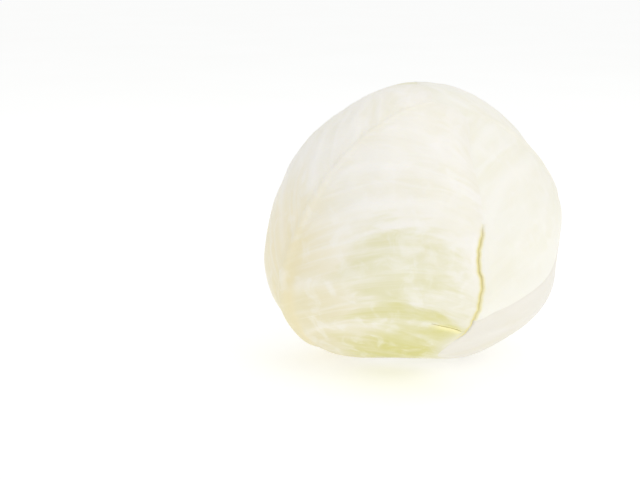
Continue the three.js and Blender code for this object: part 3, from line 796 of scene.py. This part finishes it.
def leaf_finish(name, blade, between, vein, rib, lip=(0, 0, 0, 1), deep=(0, 0, 0, 1), tints=()):
    """A waxy leaf: a pale blade, greener patches between the veins, and fine strands in relief.
    The lip is the colour of an edge that was cut; in the gap beside it a darker yellow is painted shade, for
    the shadow in the crack. A tint is a colour round a place: (place and reach in metres, share, raggedness,
    colour)."""
    material, wire = new_finish(name)
    spot = wire.node("ShaderNodeTexCoord", {}, {}, "Object")
    laid = wire.node("ShaderNodeUVMap", {"uv_map": "along_leaf"})
    layer = {key: wire.node("ShaderNodeAttribute", {"attribute_name": key}, {}, "Fac")
             for key in ("vein", "rib", "lip", "deep")}
    # Clouds of tone in the blade, then bands and strands that follow the veins, and then the cells
    # and the grain of the skin.
    patches = spot.noise(34, 2.0, 0.5, 0.4)
    mottle = spot.noise(75, 3.0, 0.5, 0.8)
    bands = laid.scaled((15, 3.2, 1)).noise(1.0, 2.5, 0.55, 1.2)
    blots = laid.scaled((34, 9, 1)).noise(1.0, 3.0, 0.6, 1.5)
    strands = laid.scaled((90, 5, 1)).noise(1.0, 3.0, 0.55, 0.5)
    streaks = laid.scaled((260, 9, 1)).noise(1.0, 3.0, 0.6, 0.3)
    cells = spot.node("ShaderNodeTexVoronoi", {"feature": "DISTANCE_TO_EDGE"},
                      {"Vector": spot + spot.noise(60, 2.0).scaled((0.004, 0.004, 0.004)),
                       "Scale": 230, "Randomness": 0.9})
    net = 1 - cells.step(0.0, 0.2)
    grain = spot.noise(1400, 2.0, 0.6)
    fresh = (patches * 0.5 + bands * 0.5).step(0.4, 0.66) * (1 - layer["vein"])
    colour = (fresh * 0.6).blend(blade, between)
    for place, reach, share, ragged, tint in tints:
        field = 1 - spot.distance(place) / reach + (bands * 0.7 + blots * 0.3 - 0.5) * ragged
        colour = (field.step(0.08, 0.78) * share * (1 - strands.step(0.45, 0.8) * 0.3)).blend(colour, tint)
    colour = (mottle.step(0.5, 0.7) * 0.35).blend(colour, vein)
    colour = (strands.step(0.45, 0.75) * 0.12).blend(colour, vein)
    colour = (layer["vein"] * 0.45).blend(colour, vein)
    colour = (layer["rib"] * (0.5 + strands * 0.5)).blend(colour, rib)
    flecks = spot.node("ShaderNodeTexVoronoi", {}, {"Vector": spot, "Scale": 52, "Randomness": 1.0})
    speck = (1 - flecks.step(0.012, 0.028)) * patches.step(0.56, 0.62)
    colour = (speck * 0.6).blend(colour, paint(196, 176, 118))
    colour = layer["lip"].blend(colour, lip)
    # Painted shade: a darker yellow in the crack, where the gap lies in shadow.
    colour = layer["deep"].blend(colour, deep)
    close_finish(wire, colour, roughness=patches * 0.12 + grain * 0.06 + 0.36,
                 height=net * 0.04 + streaks * 0.1 + strands * 0.16 + grain * 0.04,
                 subsurface=0.04, depth=0.001, rise=0.0004)
    return material


inner_leaf = wrapped_leaf("leaf_inner", inner_outline, [front_outline, right_outline, left_outline])
inner_leaf.data.materials.append(leaf_finish(
    "inner_leaf_wax", blade=paint(237, 233, 224), between=paint(234, 229, 210), vein=paint(243, 240, 233),
    rib=paint(244, 240, 224)))
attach(inner_leaf, "root")
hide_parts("inner_leaf")

# ---- Left leaf ----------------------------------------------------------------------------
# The third wrapper leaf in, which comes up the far side of the head from the stem. Only its
# back and its left flank lie bare, so it is cream with a little more green than the inner one.

left_leaf = wrapped_leaf("leaf_left", left_outline, [front_outline, right_outline])
left_leaf.data.materials.append(leaf_finish(
    "left_leaf_wax", blade=paint(241, 238, 219), between=paint(230, 229, 190), vein=paint(247, 245, 232),
    rib=paint(242, 237, 212)))
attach(left_leaf, "root")
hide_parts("left_leaf")

# ---- Right leaf ---------------------------------------------------------------------------
# The second wrapper leaf: its blade fills the right of the head, and its lower wing was torn
# off when the head was trimmed, which left a thin ragged edge. Beside the crack in the leaf
# over it the blade swells up in a long pale welt.

WELT_HEIGHT = 0.7
WELT_FROM_CRACK = 5.0
WELT_WIDTH = 3.6


def right_leaf_features(leaf, d, station, across, distance, layers):
    """The welt beside the crack, the yellow of the crack's side and of the torn edge, and the crack's floor
    painted a darker yellow as shade.
    """
    _, off, crisp, _ = front_outline.cover(d)
    out = np.maximum(off, 0)
    welt = WELT_HEIGHT * crisp * np.exp(-((off - WELT_FROM_CRACK) / WELT_WIDTH) ** 2) * (off > 0)
    torn = (across < -0.15) & (station < leaf.tear["station"])
    torn_edge = np.exp(-(distance / 0.9) ** 2) * torn
    crack_side = crisp * np.exp(-((out - 0.9) / 0.9) ** 2) * (off > -1)
    layers["lip"] = np.clip(0.9 * crack_side + 0.45 * torn_edge, 0, 1)
    # Painted shade on the crack's floor, next to the leaf over it.
    layers["deep"] = np.clip(crisp * np.exp(-((off + 0.2) / 0.55) ** 2), 0, 1)
    return welt


right_leaf = wrapped_leaf("leaf_right", right_outline, [front_outline], right_leaf_features)
right_leaf.data.materials.append(leaf_finish(
    "right_leaf_wax", blade=paint(246, 244, 234), between=paint(241, 238, 219), vein=paint(251, 249, 243),
    # The darker yellow for the crack is painted shade.
    rib=paint(244, 241, 220), lip=paint(248, 240, 190), deep=paint(228, 215, 142)))
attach(right_leaf, "root")
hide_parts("right_leaf")

# ---- Front leaf ---------------------------------------------------------------------------
# The outermost leaf wraps the front and the crown. Its midrib climbs the left side, and its
# right margin lies against the next leaf so closely that it reads as a crack, which turns into
# a short slit at the foot, where the freshly cut edge is yellow and a little raised.

MARGIN_BAND = 0.35       # how far the blade swells along the crack
LEAF_LENGTH = 267        # along the midrib
SLIT_LIFT = 0.35         # how far the slit's lower lip stands up
# The left flank's tint is partly the leaf's own cream and partly painted shade, darker and warmer.
LEFT_FLANK_CREAM_AND_SHADE = (-0.086, -0.046, 0.058)      # places on the leaf, in metres, that are tinted
# Painted shade: a darker tint over the lower left of the front leaf.
LOW_LEFT_SHADE = (-0.056, -0.049, 0.030)
CREAM_BY_CRACK = (0.013, -0.073, 0.041)
GREEN_MIDDLE = (-0.018, -0.084, 0.064)
GREEN_FOOT = (-0.012, -0.058, 0.021)
WHITE_FOOT = (0.018, -0.056, 0.020)


def front_leaf_features(leaf, d, station, across, distance, layers):
    """The swollen margin along the crack with painted shade along its edge, and the slit's raised and yellow
    lower lip.
    """
    at = np.stack([station, np.where(across > 0, 1.0, -1.0)], axis=1)
    crisp = leaf.crispness(at) * smoothstep(across, 0.8, 0.95)
    swelling = MARGIN_BAND * crisp * np.exp(-((distance + 4) / 3) ** 2)
    below = (leaf.slit["station"] - station) * LEAF_LENGTH
    along = smoothstep(across, leaf.slit["from"] - 0.02, leaf.slit["from"] + 0.06)
    lip_lift = SLIT_LIFT * along * (below > 0) * np.exp(-(below / 1.5) ** 2)
    along *= 1 - smoothstep(across, leaf.slit["to"] - 0.01, leaf.slit["to"] + 0.02)
    layers["lip"] = along * np.exp(-((below - 0.3) / 0.8) ** 2)
    # Painted shade along the crack's edge.
    layers["deep"] = crisp * np.exp(-(distance / 1.3) ** 2)
    return swelling + lip_lift


front_leaf = wrapped_leaf("leaf_front", front_outline, [], front_leaf_features)
front_leaf.data.materials.append(leaf_finish(
    "front_leaf_wax", blade=paint(249, 246, 238), between=paint(242, 238, 218), vein=paint(253, 251, 247),
    # The darker yellow for the crack is painted shade.
    rib=paint(241, 229, 186), lip=paint(253, 246, 189), deep=paint(233, 222, 152), tints=(
        # The left flank: the leaf's cream, darkened and warmed by painted shade.
        (LEFT_FLANK_CREAM_AND_SHADE, 0.085, 0.85, 0.3, paint(243, 232, 196)),
        # Painted shade over the lower left.
        (LOW_LEFT_SHADE, 0.074, 0.8, 0.3, paint(232, 224, 188)),
        (CREAM_BY_CRACK, 0.040, 0.85, 0.6, paint(235, 231, 207)),
        (GREEN_MIDDLE, 0.046, 0.72, 2.0, paint(225, 221, 173)),
        (GREEN_FOOT, 0.053, 1.0, 1.5, paint(220, 215, 143)),
        (WHITE_FOOT, 0.020, 0.85, 0.7, paint(234, 230, 212)))))
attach(front_leaf, "root")
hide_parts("front_leaf")

# ---- Studio -------------------------------------------------------------------------------
# The head sits on a white light table in a bright, even light with a broad lamp at the front
# right, so it shows hardly any shadow beyond a thin pale one where it touches.

TABLE_RADIUS = 14        # metres
TABLE_GLOW = 0.43
STUDIO_LIGHT = 0.76

bpy.ops.mesh.primitive_circle_add(vertices=96, radius=TABLE_RADIUS, fill_type="NGON")
floor = bpy.context.object
floor.name = "studio_floor"
floor_finish, wire = new_finish("studio_white")
spot = wire.node("ShaderNodeTexCoord", {}, {}, "Object")
shade = spot.noise(3, 2.0, 0.5)
tone = shade.blend(paint(216, 217, 216), paint(220, 221, 221))
paper = wire.node("ShaderNodeBsdfDiffuse", {}, {"Color": tone})
glow = wire.node("ShaderNodeEmission", {}, {"Color": (1.0, 0.995, 0.985, 1.0), "Strength": TABLE_GLOW})
lit_paper = wire.node("ShaderNodeAddShader", {}, {0: paper, 1: glow})
wire.node("ShaderNodeOutputMaterial", {}, {"Surface": lit_paper})
floor.data.materials.append(floor_finish)

world = bpy.data.worlds.new("studio_light")
bpy.context.scene.world = world
world.use_nodes = True
world.node_tree.nodes["Background"].inputs["Color"].default_value = (1.0, 1.0, 1.0, 1.0)
world.node_tree.nodes["Background"].inputs["Strength"].default_value = STUDIO_LIGHT
bpy.context.scene.view_settings.view_transform = "Standard"
bpy.context.scene.view_settings.look = "None"


def softbox(name, place, aim, width, height, power, colour):
    light = bpy.data.lights.new(name, "AREA")
    light.shape = "RECTANGLE"
    light.size, light.size_y = width, height
    light.energy = power
    light.color = colour
    lamp = bpy.data.objects.new(name, light)
    lamp.location = place
    lamp.rotation_euler = (Vector(aim) - Vector(place)).to_track_quat("-Z", "Y").to_euler()
    bpy.context.collection.objects.link(lamp)


softbox("top_softbox", place=(0.1, 0.1, 1.5), aim=(0, 0, 0), width=1.2, height=1.2, power=2.6,
        colour=(1.0, 0.99, 0.975))
softbox("key_softbox", place=(0.95, -0.75, 1.05), aim=(0, 0, 0.08), width=0.9, height=0.9, power=3.2,
        colour=(1.0, 0.985, 0.955))

CAMERA_DISTANCE = 760
CAMERA_PITCH = 12        # degrees over the level line through the head's centre
CAMERA_TURN = 4.341      # degrees left of straight ahead, so the head is right of the middle
CAMERA_DIP = 12.727      # degrees below the level line
LENS = 69.7
SENSOR = 36
pitch = math.radians(CAMERA_PITCH)
toward = np.array([0, -math.cos(pitch), math.sin(pitch)])
camera_data = bpy.data.cameras.new("camera")
camera_data.lens = LENS
camera_data.sensor_width = SENSOR
camera = bpy.data.objects.new("camera", camera_data)
bpy.context.collection.objects.link(camera)
camera.location = (HEAD_CENTRE + CAMERA_DISTANCE * toward) * MM
camera.rotation_euler = (math.radians(90 - CAMERA_DIP), 0, math.radians(CAMERA_TURN))
bpy.context.scene.camera = camera
